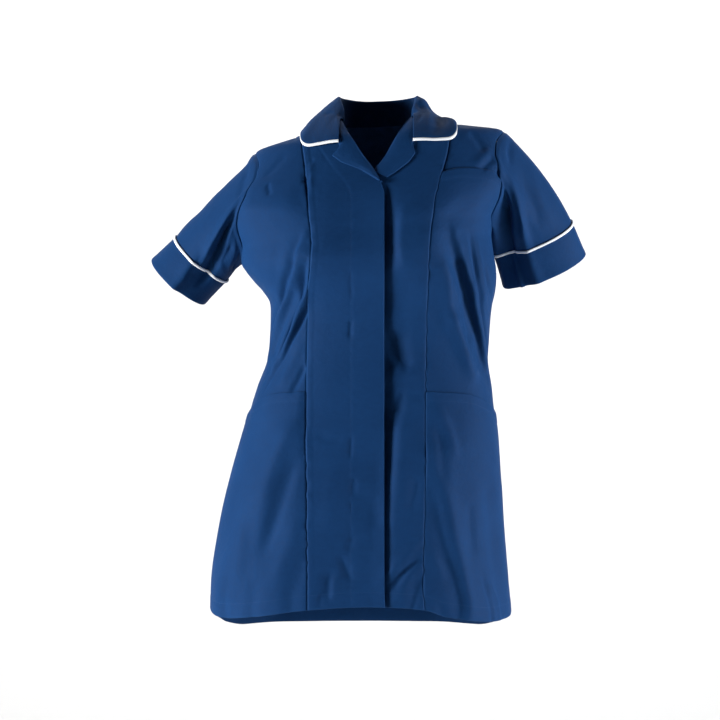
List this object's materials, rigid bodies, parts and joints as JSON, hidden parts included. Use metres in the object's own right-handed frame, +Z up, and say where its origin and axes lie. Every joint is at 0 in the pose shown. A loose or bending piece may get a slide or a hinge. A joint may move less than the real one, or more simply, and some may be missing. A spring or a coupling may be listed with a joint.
{
  "type": "medical tunic",
  "caption": "Hip-length work tunic in its worn, hollow form: concealed front, open rever collar, princess seams, three pockets, short sleeves with piped cuffs.",
  "frame": {"origin": "centre of the neck opening, level with the neck seam, where the wearer's neck and shoulders hold the tunic", "axes": "+Z up, +X towards the wearer's left, +Y towards the wearer's back"},
  "size_m": [0.6777, 0.2759, 0.8356],
  "materials": {
    "cloth": "navy polyester-cotton twill, slight sheen",
    "piping": "white cotton piping, matte"
  },
  "bodies": {
    "root": {"front_right": "cloth", "front_left": "cloth", "side_front_right": "cloth", "side_front_left": "cloth", "yoke_left": "cloth", "hip_pocket_right": "cloth", "hip_pocket_left": "cloth", "back": "cloth", "sleeve_right": "cloth", "sleeve_left": "cloth", "cuff_right": "cloth", "cuff_left": "cloth", "lapel_right": "cloth", "lapel_left": "cloth", "collar": "cloth", "piping_collar": "piping", "piping_cuff_right": "piping", "piping_cuff_left": "piping"}
  },
  "joints": []
}
